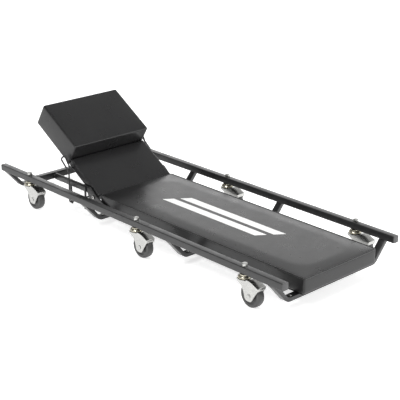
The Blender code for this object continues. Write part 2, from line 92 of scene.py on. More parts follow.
# Headrest, measured up its slope from the lower edge of its lying face
REST_TILT = math.radians(31.5)
REST_LOWER_EDGE = Vector((-0.2044, 0, 0.0805))
REST_BOARD_HALF, REST_BOARD_DEPTHS = 0.1355, (-0.0233, -0.0143)
BACK_PAD_SPAN, BACK_PAD_DEPTHS = (0.0, 0.148), (-0.0140, 0.0)
CUSHION_SPAN, CUSHION_DEPTHS, CUSHION_HALF = (0.149, 0.327), (-0.0140, 0.0488), 0.1365
PROP_PIVOT_ALONG, HINGE_ALONG = 0.130, 0.012
REST_MID_DEPTH = sum(REST_BOARD_DEPTHS) / 2
REST_BOARD_SPAN = (0.001, CUSHION_SPAN[1] - 0.003)
BOARD_ROUNDING = 0.0012

# Covers: the welt of the main pad, and the headrest's vinyl folded round and under its board
WELT_RADIUS, WELT_INSET, WELT_CORNER = 0.0019, 0.0012, 0.005
WRAP, WRAP_UNDER = 0.0012, 0.022

# Cloth: frames it is pumped up for, the depth held at the base, and the reach held at edges, in roundings
CLOTH_FRAMES, HELD_BASE, HELD_EDGE = 20, 0.002, 1.2

# White stripes printed on the pad: a thin film, cut into squares so that it follows the pad
PRINT_ALONG, PRINT_LENGTH, PRINT_STRIPE, PRINT_SPACE, PRINT_SLANT = 0.46, 0.36, 0.026, 0.014, 0.75
PRINT_CORNER, FILM_THICK, FILM_LIFT, FILM_SQUARE = 0.001, 0.00025, 0.4, 0.012

# Wire prop
WIRE_RADIUS, PROP_BAR_Z = 0.0024, 0.032
PROP_LEG_Y, PROP_PIVOT_Y, PROP_END_Y = 0.155, 0.145, 0.1265

# Casters, measured from the swivel axis
CASTER_ROWS = ("head", "middle", "foot")
TRAIL, WHEEL_RADIUS, WHEEL_HALF = 0.0275, 0.03175, 0.0105
AXLE_RADIUS, STEM_RADIUS, NUT_RADIUS = 0.003, 0.005, 0.0075
FORK_HALF, FORK_INNER_HALF = 0.0140, 0.0115
CROWN_RADIUS, CROWN_BOTTOM, CROWN_TOP = 0.0175, 0.0645, 0.0670
RACE_BOTTOM = 0.0680


# ---------------------------------------------------------------- materials


def map_range(tree, value, *numbers):
    """A value taken from one range to another: from low, from high, to low, to high."""
    node = tree.nodes.new("ShaderNodeMapRange")
    tree.links.new(value, node.inputs["Value"])
    for socket, number in zip(("From Min", "From Max", "To Min", "To Max"), numbers):
        node.inputs[socket].default_value = number
    return node.outputs["Result"]


class Nodes:
    """A material's node tree, with short calls for the nodes that the materials share."""

    def __init__(self, name, colour, roughness, metallic=0.0, **sockets):
        self.material = bpy.data.materials.new(name)
        self.material.use_nodes = True
        self.tree = self.material.node_tree
        self.shader = self.tree.nodes["Principled BSDF"]
        self.shader.inputs["Base Color"].default_value = (*colour, 1)
        self.shader.inputs["Roughness"].default_value = roughness
        self.shader.inputs["Metallic"].default_value = metallic
        for socket, value in sockets.items():
            self.shader.inputs[socket.replace("_", " ")].default_value = value
        self.place = self.tree.nodes.new("ShaderNodeTexCoord").outputs["Object"]

    def link(self, output, node, socket):
        self.tree.links.new(output, node.inputs[socket])

    def stretched(self, scale):
        """Object coordinates, scaled by a different amount along each axis."""
        node = self.tree.nodes.new("ShaderNodeMapping")
        node.inputs["Scale"].default_value = scale
        self.link(self.place, node, "Vector")
        return node.outputs["Vector"]

    def noise(self, scale, detail=3.0, roughness=0.55, distortion=0.0, at=None):
        node = self.tree.nodes.new("ShaderNodeTexNoise")
        node.inputs["Scale"].default_value = scale
        node.inputs["Detail"].default_value = detail
        node.inputs["Roughness"].default_value = roughness
        node.inputs["Distortion"].default_value = distortion
        self.link(at or self.place, node, "Vector")
        return node.outputs["Fac"]

    def cells(self, scale):
        """1 inside the cells of a leather grain, 0 in the creases between them."""
        node = self.tree.nodes.new("ShaderNodeTexVoronoi")
        node.feature = "DISTANCE_TO_EDGE"
        node.inputs["Scale"].default_value = scale
        self.link(self.place, node, "Vector")
        return self.between(node.outputs["Distance"], 0.0, 0.18, 0.0, 1.0)

    def between(self, value, low, high, to_low, to_high):
        return map_range(self.tree, value, low, high, to_low, to_high)

    def mixed(self, factor, first, second):
        """A blend of two colours."""
        node = self.tree.nodes.new("ShaderNodeMix")
        node.data_type = "RGBA"
        self.link(factor, node, "Factor")
        for socket, colour in (("A", first), ("B", second)):
            found = [s for s in node.inputs if s.name == socket and s.type == "RGBA"][0]
            found.default_value = (*colour, 1)
        return [s for s in node.outputs if s.type == "RGBA"][0]

    def colour(self, output):
        self.link(output, self.shader, "Base Color")

    def gloss(self, output):
        self.link(output, self.shader, "Roughness")

    def bumps(self, *heights):
        """Bump layers as (height, depth in metres, strength), coarse first."""
        normal = None
        for height, depth, strength in heights:
            node = self.tree.nodes.new("ShaderNodeBump")
            node.inputs["Distance"].default_value = depth
            node.inputs["Strength"].default_value = strength
            self.link(height, node, "Height")
            if normal is not None:
                self.link(normal, node, "Normal")
            normal = node.outputs["Normal"]
        self.link(normal, self.shader, "Normal")


def vinyl_material():
    nodes = Nodes("creeper_vinyl", (0.011, 0.011, 0.0115), 0.38, Specular_IOR_Level=0.43)
    nodes.colour(nodes.mixed(nodes.noise(14, 4), (0.009, 0.009, 0.0093), (0.0135, 0.0135, 0.014)))
    nodes.gloss(nodes.between(nodes.noise(26, 4), 0.3, 0.7, 0.26, 0.34))
    nodes.bumps(
        (nodes.noise(16, 2, 0.5, 0.6), 0.0008, 0.15),
        (nodes.cells(620), 0.00006, 0.22),
        (nodes.noise(2300, 2), 0.00002, 0.15),
    )
    return nodes.material


def paint_material():
    nodes = Nodes("black_powder_coat", (0.014, 0.014, 0.0145), 0.30, Specular_IOR_Level=0.62)
    scuffs = nodes.between(nodes.noise(70, 6, 0.7, 1.5, nodes.stretched((0.25, 1, 1))), 0.62, 0.72, 0.0, 1.0)
    nodes.colour(nodes.mixed(scuffs, (0.012, 0.012, 0.0125), (0.026, 0.026, 0.027)))
    nodes.gloss(nodes.between(nodes.noise(35, 5), 0.3, 0.7, 0.27, 0.42))
    nodes.bumps((nodes.noise(55, 2), 0.0003, 0.15), (nodes.noise(1100, 2), 0.00006, 0.45))
    return nodes.material


def board_material():
    nodes = Nodes("painted_board", (0.008, 0.008, 0.008), 0.6, Specular_IOR_Level=0.25)
    grain = nodes.noise(60, 5, 0.6, 0.8, nodes.stretched((0.08, 1, 1)))
    nodes.colour(nodes.mixed(grain, (0.006, 0.006, 0.006), (0.012, 0.0118, 0.0115)))
    nodes.gloss(nodes.between(grain, 0.3, 0.7, 0.50, 0.68))
    nodes.bumps((grain, 0.0004, 0.35), (nodes.noise(900, 2), 0.00005, 0.3))
    return nodes.material


def plastic_material(name, dark, light, roughness):
    nodes = Nodes(name, light, sum(roughness) / 2)
    nodes.colour(nodes.mixed(nodes.noise(45, 4), dark, light))
    nodes.gloss(nodes.between(nodes.noise(90, 4), 0.3, 0.7, *roughness))
    nodes.bumps((nodes.noise(30, 3), 0.0002, 0.15), (nodes.noise(1600, 2), 0.00005, 0.35))
    return nodes.material


def zinc_material(name, dull, bright, roughness):
    """Zinc plate: brushed one way, with a faint cloudy tint."""
    nodes = Nodes(name, bright, sum(roughness) / 2, 1.0)
    brushed = nodes.noise(420, 4, 0.6, 0.0, nodes.stretched((0.12, 0.12, 1)))
    nodes.colour(nodes.mixed(nodes.noise(55, 4), dull, bright))
    nodes.gloss(nodes.between(brushed, 0.3, 0.7, *roughness))
    nodes.bumps((nodes.noise(60, 2), 0.00015, 0.08), (brushed, 0.00002, 0.12))
    return nodes.material


def print_material():
    nodes = Nodes("white_print", (0.80, 0.80, 0.79), 0.5)
    worn = nodes.between(nodes.noise(380, 4, 0.7), 0.34, 0.42, 0.0, 1.0)
    nodes.colour(nodes.mixed(worn, (0.55, 0.55, 0.545), (0.84, 0.84, 0.83)))
    nodes.gloss(nodes.between(nodes.noise(60, 3), 0.3, 0.7, 0.42, 0.55))
    nodes.bumps((nodes.cells(620), 0.00008, 0.4))
    return nodes.material


VINYL = vinyl_material()
PAINT = paint_material()
BOARD = board_material()
CAP_PLASTIC = plastic_material("cap_plastic", (0.046, 0.046, 0.047), (0.064, 0.064, 0.065), (0.34, 0.46))
WHEEL_PLASTIC = plastic_material("wheel_plastic", (0.040, 0.040, 0.040), (0.058, 0.058, 0.057), (0.40, 0.55))
BRIGHT_ZINC = zinc_material("bright_zinc", (0.40, 0.40, 0.39), (0.53, 0.53, 0.515), (0.20, 0.34))
YELLOW_ZINC = zinc_material("yellow_zinc", (0.40, 0.38, 0.30), (0.53, 0.50, 0.41), (0.22, 0.36))
WHITE_PRINT = print_material()


# ---------------------------------------------------------------- shapes


def placed(name, data):
    """A new object in the scene."""
    obj = bpy.data.objects.new(name, data)
    bpy.context.scene.collection.objects.link(obj)
    return obj


def evaluated(obj):
    """The mesh that a helper object's modifiers or curve make. The helper is deleted."""
    graph = bpy.context.evaluated_depsgraph_get()
    mesh = bpy.data.meshes.new_from_object(obj.evaluated_get(graph), depsgraph=graph)
    bpy.data.objects.remove(obj)
    return mesh


def slice_through(bm, place, normal):
    """Cut the faces that a plane crosses, and keep both sides."""
    geometry = bm.verts[:] + bm.edges[:] + bm.faces[:]
    bmesh.ops.bisect_plane(bm, geom=geometry, plane_co=place, plane_no=normal)


def mesh_of(bm, name="shape"):
    bmesh.ops.recalc_face_normals(bm, faces=bm.faces)
    mesh = bpy.data.meshes.new(name)
    bm.to_mesh(mesh)
    bm.free()
    return mesh


def box_mesh(low, high, rounding=0.0, segments=4):
    low, high = Vector(low), Vector(high)
    bm = bmesh.new()
    bmesh.ops.create_cube(bm, size=1)
    bmesh.ops.transform(bm, verts=bm.verts, matrix=Matrix.Diagonal((*(high - low), 1)))
    bmesh.ops.translate(bm, verts=bm.verts, vec=(low + high) / 2)
    if rounding:
        bmesh.ops.bevel(
            bm, geom=bm.edges[:], offset=rounding, segments=segments, profile=0.5, affect="EDGES"
        )
    return mesh_of(bm)


def cylinder_mesh(start, end, radius, sides=48):
    start, end = Vector(start), Vector(end)
    turn = (end - start).to_track_quat("Z", "Y").to_matrix().to_4x4()
    bm = bmesh.new()
    bmesh.ops.create_cone(
        bm,
        cap_ends=True,
        segments=sides,
        radius1=radius,
        radius2=radius,
        depth=(end - start).length,
        matrix=Matrix.Translation((start + end) / 2) @ turn,
    )
    return mesh_of(bm)


def rounded(corners, closed=True, steps=6):
    """The points of a path whose corners are (point, radius), with an arc in place of each corner."""
    points = []
    for i, (corner, radius) in enumerate(corners):
        corner = Vector(corner)
        if radius == 0 or (not closed and i in (0, len(corners) - 1)):
            points.append(corner)
            continue
        back = (Vector(corners[i - 1][0]) - corner).normalized()
        ahead = (Vector(corners[(i + 1) % len(corners)][0]) - corner).normalized()
        half = back.angle(ahead) / 2
        centre = corner + (back + ahead).normalized() * radius / math.sin(half)
        first = corner + back * radius / math.tan(half) - centre
        last = corner + ahead * radius / math.tan(half) - centre
        sweep = math.pi - 2 * half
        for step in range(steps + 1):
            part = step / steps
            weights = (math.sin((1 - part) * sweep), math.sin(part * sweep))
            points.append(centre + (first * weights[0] + last * weights[1]) / math.sin(sweep))
    return points


def curve_to_mesh(curve, matrix):
    bm = bmesh.new()
    bm.from_mesh(evaluated(placed("guide", curve)))
    bmesh.ops.remove_doubles(bm, verts=bm.verts, dist=1e-6)
    bmesh.ops.transform(bm, verts=bm.verts, matrix=matrix)
    return mesh_of(bm)


def outline_mesh(loops, low, high, along):
    """A flat outline from low to high. Its points are (y, z) along X, (x, z) along Y and (x, y) along Z."""
    curve = bpy.data.curves.new("outline", "CURVE")
    curve.dimensions = "2D"
    curve.fill_mode = "BOTH"
    curve.extrude = (high - low) / 2
    for loop in loops:
        spline = curve.splines.new("POLY")
        spline.points.add(len(loop) - 1)
        for point, (u, v) in zip(spline.points, loop):
            point.co = (u, v, 0, 1)
        spline.use_cyclic_u = True
    centre = (low + high) / 2
    matrix = {
        "X": Matrix(((0, 0, 1, centre), (1, 0, 0, 0), (0, 1, 0, 0), (0, 0, 0, 1))),
        "Y": Matrix(((1, 0, 0, 0), (0, 0, -1, centre), (0, 1, 0, 0), (0, 0, 0, 1))),
        "Z": Matrix.Translation((0, 0, centre)),
    }[along]
    return curve_to_mesh(curve, matrix)


def wire_mesh(points, radius, closed=False, resolution=5):
    curve = bpy.data.curves.new("wire", "CURVE")
    curve.dimensions = "3D"
    curve.bevel_depth = radius
    curve.bevel_resolution = resolution
    curve.use_fill_caps = not closed
    spline = curve.splines.new("POLY")
    spline.points.add(len(points) - 1)
    for point, where in zip(spline.points, points):
        point.co = (*where, 1)
    spline.use_cyclic_u = closed
    return curve_to_mesh(curve, Matrix.Identity(4))


def turned_mesh(profile, centre=(0, 0, 0), axis="Z", steps=64):
    """A closed profile of (radius, height) points, spun about an axis through the centre."""
    bm = bmesh.new()
    ring = [bm.verts.new((radius, 0, height)) for radius, height in profile]
    edges = [bm.edges.new((ring[i - 1], ring[i])) for i in range(len(ring))]
    bmesh.ops.spin(bm, geom=ring + edges, axis=(0, 0, 1), angle=math.tau, steps=steps, use_merge=True)
    bmesh.ops.remove_doubles(bm, verts=bm.verts, dist=1e-6)
    bmesh.ops.dissolve_degenerate(bm, edges=bm.edges, dist=1e-7)
    turn = Matrix.Rotation(math.radians(90), 4, "X") if axis == "Y" else Matrix.Identity(4)
    bmesh.ops.transform(bm, verts=bm.verts, matrix=Matrix.Translation(centre) @ turn)
    return mesh_of(bm)


def cut(mesh, *cutters, operation="DIFFERENCE"):
    """The mesh with other meshes cut from it, or joined on."""
    obj = placed("cut", mesh)
    helpers = [placed("cutter", cutter) for cutter in cutters]
    for helper in helpers:
        modifier = obj.modifiers.new("Boolean", "BOOLEAN")
        modifier.operation = operation
        modifier.object = helper
        modifier.solver = "EXACT"
    result = evaluated(obj)
    for helper in helpers:
        bpy.data.objects.remove(helper)
    return result


def softened(mesh, width, segments=3, angle=35):
    """The mesh with its sharp edges rounded."""
    obj = placed("softened", mesh)
    modifier = obj.modifiers.new("Bevel", "BEVEL")
    modifier.width = width
    modifier.segments = segments
    modifier.limit_method = "ANGLE"
    modifier.angle_limit = math.radians(angle)
    return evaluated(obj)


def piece(name, mesh, material, body, replaced=(), sharp=40):
    """A shown piece: its mesh, finish, the CAD body that it rides on and the nodes that it replaces."""
    mesh.materials.clear()
    mesh.materials.append(material)
    mesh.shade_smooth()
    mesh.set_sharp_from_angle(angle=math.radians(sharp))
    obj = placed(name, mesh)
    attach(obj, body)
    if replaced:
        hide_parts(*replaced)
    return obj


def middle(node):
    low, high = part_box(node)
    return (low + high) / 2


# ---------------------------------------------------------------- frame


def tube_loops(u, v, half):
    """The outer and inner outlines of a square tube's section."""
    loops = []
    for reach, corner in ((half, TUBE_CORNER), (half - TUBE_WALL, TUBE_CORNER - TUBE_WALL / 2)):
        square = [
            ((u - reach, v - reach), corner),
            ((u + reach, v - reach), corner),
            ((u + reach, v + reach), corner),
            ((u - reach, v + reach), corner),
        ]
        loops.append(rounded(square))
    return loops


def rails():
    for side in SIDES:
        node = f"rail_{side}"
        low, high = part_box(node)
        centre, half = (low + high) / 2, (high.z - low.z) / 2
        mesh = outline_mesh(tube_loops(centre.y, centre.z, half), low.x, high.x, "X")
        piece(f"{node}_tube", mesh, PAINT, "frame", [node])
        for end in ("head", "foot"):
            rail_cap(side, end, half)


def rail_cap(side, end, half):
    """A moulded plug: a flange with rounded edges, and a body inside the tube."""
    node = f"rail_cap_{side}_{end}"
    low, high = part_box(node)
    centre = (low + high) / 2
    outward = 1 if end == "foot" else -1
    outer = high.x if end == "foot" else low.x
    seat = outer - outward * CAP_FLANGE
    corners = [(-half, -half), (half, -half), (half, half), (-half, half)]
    loop = [(y + centre.y, z + centre.z) for y, z in rounded([(point, CAP_CORNER) for point in corners])]
    flange = softened(outline_mesh([loop], *sorted((outer, seat)), "X"), CAP_ROUNDING)
    plug = half - TUBE_WALL - CLEARANCE
    inner = seat - outward * CAP_BODY
    body = box_mesh(
        (min(seat, inner) - 0.0001, centre.y - plug, centre.z - plug),
        (max(seat, inner) + 0.0001, centre.y + plug, centre.z + plug),
        CAP_BODY_ROUNDING,
    )
    mesh = cut(flange, body, operation="UNION")
    piece(f"{node}_plug", mesh, CAP_PLASTIC, "frame", [node])


def strap_loop(low, top):
    """The outline of a bar bent up at both ends, in y and z."""
    thick = STRAP_THICK
    middle_z = low + thick / 2
    corner = STRAP_FLAT_HALF + STRAP_BEND * math.tan(STRAP_SLOPE / 2)
    shift = thick / 2 * math.tan(STRAP_SLOPE / 2)
    tip = corner + (top - middle_z) / math.tan(STRAP_SLOPE)
    half_cut = thick / 2 / math.sin(STRAP_SLOPE)
    right = [
        ((corner + shift, low), STRAP_BEND + thick / 2),
        ((tip + half_cut, top), 0),
        ((tip - half_cut, top), 0),
        ((corner - shift, low + thick), STRAP_BEND - thick / 2),
    ]
    left = [((-y, z), radius) for (y, z), radius in reversed(right)]
    return rounded(right + left, steps=12)


def weld_bead(name, start, end, radius):
    """A rippled bead along a joint between two steel pieces."""
    start, end = Vector(start), Vector(end)
    count = max(6, int((end - start).length / BEAD_STEP))
    bm = bmesh.new()
    for i in range(count + 1):
        place = start.lerp(end, i / count)
        swell = radius * (1 + BEAD_SWELL * math.sin(i * BEAD_RIPPLE))
        bmesh.ops.create_icosphere(bm, subdivisions=2, radius=swell, matrix=Matrix.Translation(place))
    obj = placed("bead", mesh_of(bm))
    remesh = obj.modifiers.new("Remesh", "REMESH")
    remesh.mode = "VOXEL"
    remesh.voxel_size = BEAD_VOXEL
    piece(name, evaluated(obj), PAINT, "frame", sharp=80)


def straps():
    rail_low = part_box("rail_near")[0].z
    for number in STRAPS:
        node = f"cross_strap_{number}"
        low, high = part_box(node)
        mesh = outline_mesh([strap_loop(low.z, high.z)], low.x, high.x, "X")
        piece(f"{node}_bar", softened(mesh, STEEL_ROUNDING), PAINT, "frame", [node])
        for side, sign in SIDES.items():
            for edge, y in (("outer", high.y - BEAD_SUNK), ("inner", high.y - STRAP_CUT)):
                start = (low.x + BEAD_INSET, sign * y, rail_low)
                end = (high.x - BEAD_INSET, sign * y, rail_low)
                weld_bead(f"weld_{node}_{side}_{edge}", start, end, BEAD_RADIUS)


def strap_screws():
    """A pan-head screw beside the pad at both ends of every strap, with a straight slot."""
    radius, tall = SCREW_RADIUS, SCREW_TALL
    profile = [
        (0, 0),
        (radius, 0),
        (radius, 0.0006),
        (radius * 0.8, tall * 0.75),
        (radius * 0.4, tall),
        (0, tall),
    ]
    slot = box_mesh(
        (-radius, -SCREW_SLOT_HALF, tall - SCREW_SLOT_DEPTH),
        (radius, SCREW_SLOT_HALF, tall + SCREW_SLOT_DEPTH),
    )
    screw = cut(turned_mesh(profile, steps=32), slot)
    for number in STRAPS:
        low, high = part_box(f"cross_strap_{number}")
        for side, sign in SIDES.items():
            copy = screw.copy()
            copy.transform(Matrix.Translation(((low.x + high.x) / 2, sign * SCREW_Y, low.z + STRAP_THICK)))
            piece(f"strap_screw_{number}_{side}", copy, BRIGHT_ZINC, "frame")


def head_bar():
    low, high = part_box("head_cross_bar")
    centre, half = (low + high) / 2, (high.z - low.z) / 2
    mesh = outline_mesh(tube_loops(centre.x, centre.z, half), low.y, high.y, "Y")
    piece("head_cross_bar_tube", mesh, PAINT, "frame", ["head_cross_bar"])
    for side, sign in SIDES.items():
        y = sign * (high.y - BEAD_SUNK)
        for edge, x in (("head", low.x), ("foot", high.x)):
            start, end = (x, y, low.z + BAR_BEAD_INSET), (x, y, high.z - BAR_BEAD_INSET)
            weld_bead(f"weld_head_bar_{side}_{edge}", start, end, BEAD_RADIUS)


def on_headrest(along, depth):
    """A point in the headrest's middle plane, up its slope and out from its lying face."""
    up = Vector((-math.cos(REST_TILT), 0, math.sin(REST_TILT)))
    out = Vector((math.sin(REST_TILT), 0, math.cos(REST_TILT)))
    return REST_LOWER_EDGE + up * along + out * depth


def side_plates():
    """Plates from the rail's height down past the hinge to a foot on the second strap."""
    hinge = on_headrest(HINGE_ALONG, REST_MID_DEPTH)
    foot_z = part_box("cross_strap_2")[0].z + STRAP_THICK + GAP
    for side in SIDES:
        node = f"side_plate_{side}"
        low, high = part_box(node)
        under = high.z - TUBE
        corners = [
            ((low.x, high.z), 0.002),
            ((low.x, under), 0.002),
            ((hinge.x - 0.027, under), 0.004),
            ((hinge.x - 0.020, hinge.z - 0.013), 0.006),
            ((PLATE_FOOT_X - PLATE_FOOT_LENGTH, foot_z), 0.002),
            ((PLATE_FOOT_X, foot_z), 0.002),
            ((PLATE_FOOT_X, foot_z + PLATE_FOOT_HEIGHT), 0.006),
            ((hinge.x + 0.009, hinge.z + 0.006), 0.006),
            ((hinge.x - 0.0155, high.z), 0.004),
        ]
        mesh = outline_mesh([rounded(corners)], low.y, high.y, "Y")
        start = (hinge.x, low.y - CUT_PAST, hinge.z)
        hole = cylinder_mesh(start, (hinge.x, high.y + CUT_PAST, hinge.z), BOLT_RADIUS + CLEARANCE)
        mesh = softened(cut(mesh, hole), PLATE_ROUNDING, 2)
        piece(f"{node}_blank", mesh, PAINT, "frame", [node])
        start, end = (low.x, low.y, under + BAR_BEAD_INSET), (low.x, low.y, high.z - BAR_BEAD_INSET)
        weld_bead(f"weld_{node}_head", start, end, PLATE_BEAD_RADIUS)
        prop_bracket(side)


def prop_bracket(side):
    """A strip on the side plate with two hooks, welded along its upper edge."""
    node = f"prop_bracket_{side}"
    low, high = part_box(node)
    reach = WIRE_RADIUS + BAR_CLEARANCE
    seat, turned = SEAT_X[0], sum(SEAT_X)
    half = [
        ((low.x, high.z), 0.002),
        ((low.x, low.z), 0.002),
        ((seat - HOOK_SHORT, low.z), 0.001),
        ((seat - HOOK_SHORT, HOOK_LEDGE), 0.001),
        ((seat - reach, HOOK_LEDGE), 0),
        ((seat - reach, high.z - BRACKET_STRIP), 0.003),
    ]
    mirrored = [((turned - x, z), radius) for (x, z), radius in reversed(half)]
    mesh = outline_mesh([rounded(half + mirrored)], low.y, high.y, "Y")
    piece(f"{node}_strip", softened(mesh, PLATE_ROUNDING, 2), PAINT, "frame", [node])
    inner = min(low.y, high.y, key=abs)
    start = (low.x + BRACKET_BEAD_INSET, inner, high.z)
    end = (high.x - BRACKET_BEAD_INSET, inner, high.z)
    weld_bead(f"weld_{node}", start, end, BRACKET_BEAD_RADIUS)


def hinge_bolts():
    """Cap screws with a hexagon socket."""
    hinge = on_headrest(HINGE_ALONG, REST_MID_DEPTH)
    for side, sign in SIDES.items():
        node = f"hinge_bolt_{side}"
        low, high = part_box(node)
        length = high.y - low.y
        radius = 0.8 * BOLT_HEAD_RADIUS
        profile = [
            (0, 0),
            (BOLT_RADIUS - 0.0006, 0),
            (BOLT_RADIUS, 0.0006),
            (BOLT_RADIUS, length - BOLT_HEAD),
            (radius - 0.0003, length - BOLT_HEAD),
            (radius, length - BOLT_HEAD + 0.0003),
            (radius, length - 0.0012),
            (radius - 0.0009, length - 0.0002),
            (radius - 0.0016, length),
            (0, length),
        ]
        start, end = (0, 0, length - BOLT_SOCKET_DEPTH), (0, 0, length + CUT_PAST)
        socket = cylinder_mesh(start, end, BOLT_SOCKET_RADIUS, 6)
        mesh = cut(turned_mesh(profile, steps=48), socket)
        tip = low.y if sign > 0 else high.y
        turn = Matrix.Rotation(math.radians(-90 * sign), 4, "X")
        mesh.transform(Matrix.Translation((hinge.x, tip, hinge.z)) @ turn)
        piece(f"{node}_screw", mesh, BRIGHT_ZINC, "frame", [node])


# ---------------------------------------------------------------- upholstery


def edge_distance(point, half):
    """How far a point of a block's surface is from the block's nearest edge."""
    gaps = sorted(h - abs(c) for c, h in zip(point, half))
    return gaps[1]


def swollen(mesh, half, pressure, cap, hold):
    """The block after its cloth has been pumped up, held along its edges and under its base."""
    obj = placed("swelling", mesh)
    held = obj.vertex_groups.new(name="held")
    for vertex in mesh.vertices:
        under = vertex.co.z < -half.z + HELD_BASE
        near_edge = edge_distance(vertex.co, half) < hold
        if under or near_edge:
            held.add([vertex.index], 1.0, "REPLACE")
    cloth = obj.modifiers.new("Cloth", "CLOTH")
    settings = cloth.settings
    settings.quality = 5
    settings.mass = 0.3
    settings.tension_stiffness = 12
    settings.compression_stiffness = 8
    settings.bending_stiffness = 0.6
    settings.use_pressure = True
    settings.uniform_pressure_force = pressure
    settings.vertex_group_mass = "held"
    settings.effector_weights.gravity = 0
    cloth.point_cache.frame_end = CLOTH_FRAMES
    scene = bpy.context.scene
    for step in range(1, CLOTH_FRAMES + 1):
        scene.frame_set(step)
    result = evaluated(obj)
    for before, after in zip(mesh.vertices, result.vertices):
        move = after.co - before.co
        limited = [max(-most, min(most, distance)) for distance, most in zip(move, cap)]
        after.co = before.co + Vector(limited)
    scene.frame_set(1)
    return result


def block_mesh(half, rounding, spacing):
    """A block with rounded edges, cut into small even faces for the cloth."""
    bm = bmesh.new()
    bm.from_mesh(box_mesh(-half, half, rounding, 3))
    for axis in range(3):
        count = round(2 * (half[axis] - rounding) / spacing)
        normal = [float(i == axis) for i in range(3)]
        for i in range(1, count):
            slice_through(bm, Vector(normal) * ((half[axis] - rounding) * (2 * i / count - 1)), normal)
    return mesh_of(bm)


def cushion_mesh(size, rounding, spacing, pressure, cap):
    half = Vector(size) / 2
    mesh = block_mesh(half, rounding, spacing)
    mesh = swollen(mesh, half, pressure, cap, rounding * HELD_EDGE)
    obj = placed("subdivided", mesh)
    subdivision = obj.modifiers.new("Subdivision", "SUBSURF")
    subdivision.levels = subdivision.render_levels = 1
    return evaluated(obj)


def welt_loop(half):
    """The line of the main pad's welt: a rounded rectangle about the pad's middle, under its top edge."""
    x, y, height = half.x - WELT_INSET, half.y - WELT_INSET, half.z - WELT_INSET
    corners = [(-x, -y, height), (x, -y, height), (x, y, height), (-x, y, height)]
    return rounded([(corner, WELT_CORNER) for corner in corners])


def main_pad():
    low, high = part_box("base_board")
    board = box_mesh(low, high, BOARD_ROUNDING)
    piece("base_board_panel", board, BOARD, "frame", ["base_board"])
    low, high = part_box("main_pad")
    size, centre = high - low, (low + high) / 2
    mesh = cushion_mesh(size, rounding=0.0040, spacing=0.009, pressure=3.0, cap=(0.002, 0.0015, 0.0028))
    mesh.transform(Matrix.Translation(centre))
    pad = piece("main_pad_cover", mesh, VINYL, "frame", ["main_pad"], sharp=180)
    welt = wire_mesh(welt_loop(size / 2), WELT_RADIUS, closed=True)
    welt.transform(Matrix.Translation(centre))
    piece("main_pad_welt", welt, VINYL, "frame", sharp=180)
    pad_print(pad)


def pad_print(pad):
    """Two plain white stripes with slanted ends, printed on the pad and following its crown."""
    low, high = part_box("main_pad")
    surface = BVHTree.FromObject(pad, bpy.context.evaluated_depsgraph_get())
    middle_x = low.x + PRINT_ALONG * (high.x - low.x)
    for name, sign in (("near", -1), ("far", 1)):
        y = sign * (PRINT_STRIPE + PRINT_SPACE) / 2
        lean = PRINT_SLANT * PRINT_STRIPE / 2
        x = middle_x + sign * PRINT_SLANT * (PRINT_STRIPE + PRINT_SPACE) / 2
        corners = [
            (x - PRINT_LENGTH / 2 - lean, y - PRINT_STRIPE / 2),
            (x + PRINT_LENGTH / 2 - lean, y - PRINT_STRIPE / 2),
            (x + PRINT_LENGTH / 2 + lean, y + PRINT_STRIPE / 2),
            (x - PRINT_LENGTH / 2 + lean, y + PRINT_STRIPE / 2),
        ]
        outline = rounded([(point, PRINT_CORNER) for point in corners])
        flat = outline_mesh([outline], 0, FILM_THICK, "Z")
        film = laid_on(flat, surface)
        piece(f"pad_print_{name}", film, WHITE_PRINT, "frame", sharp=60)


def laid_on(mesh, surface):
    """The top of a flat shape as a thin film on a surface below it."""
    bm = bmesh.new()
    bm.from_mesh(mesh)
    under = [face for face in bm.faces if face.normal.z < 0.9]
    bmesh.ops.delete(bm, geom=under, context="FACES")
    low = Vector((min(v.co.x for v in bm.verts), min(v.co.y for v in bm.verts), 0))
    high = Vector((max(v.co.x for v in bm.verts), max(v.co.y for v in bm.verts), 0))
    for axis, normal in ((0, (1, 0, 0)), (1, (0, 1, 0))):
        for i in range(1, int((high[axis] - low[axis]) / FILM_SQUARE) + 1):
            place = low.copy()
            place[axis] += i * FILM_SQUARE
            slice_through(bm, place, normal)
    for vertex in bm.verts:
        found = surface.ray_cast(Vector((vertex.co.x, vertex.co.y, 1.0)), Vector((0, 0, -1)))[0]
        vertex.co.z = found.z + FILM_THICK * FILM_LIFT
    film = bpy.data.meshes.new("film")
    bm.to_mesh(film)
    bm.free()
    obj = placed("film", film)
    solidify = obj.modifiers.new("Solidify", "SOLIDIFY")
    solidify.thickness = FILM_THICK
    solidify.offset = 0
    return evaluated(obj)


def headrest_block(span, half, depths):
    """The size, and the turn and place, of a block on the headrest's slope."""
    centre = on_headrest(sum(span) / 2, sum(depths) / 2)
    matrix = Matrix.Translation(centre) @ Matrix.Rotation(REST_TILT, 4, "Y")
    return Vector((span[1] - span[0], 2 * half, depths[1] - depths[0])), matrix


def board_holes():
    """Cutters for the hinge bolts and the prop's ends, which go into the board's edges."""
    hinge = on_headrest(HINGE_ALONG, REST_MID_DEPTH)
    pivot = on_headrest(PROP_PIVOT_ALONG, REST_MID_DEPTH)
    holes = []
    for sign in SIDES.values():
        for centre, radius, inner in (
            (hinge, BOLT_RADIUS + CLEARANCE, REST_BOARD_HALF - BOLT_HOLE_DEPTH),
            (pivot, WIRE_RADIUS + CLEARANCE, PROP_END_Y - 0.001),
        ):
            start = (centre.x, sign * inner, centre.z)
            end = (centre.x, sign * (CUSHION_HALF + CUT_PAST), centre.z)
            holes.append(cylinder_mesh(start, end, radius, 32))
    return holes


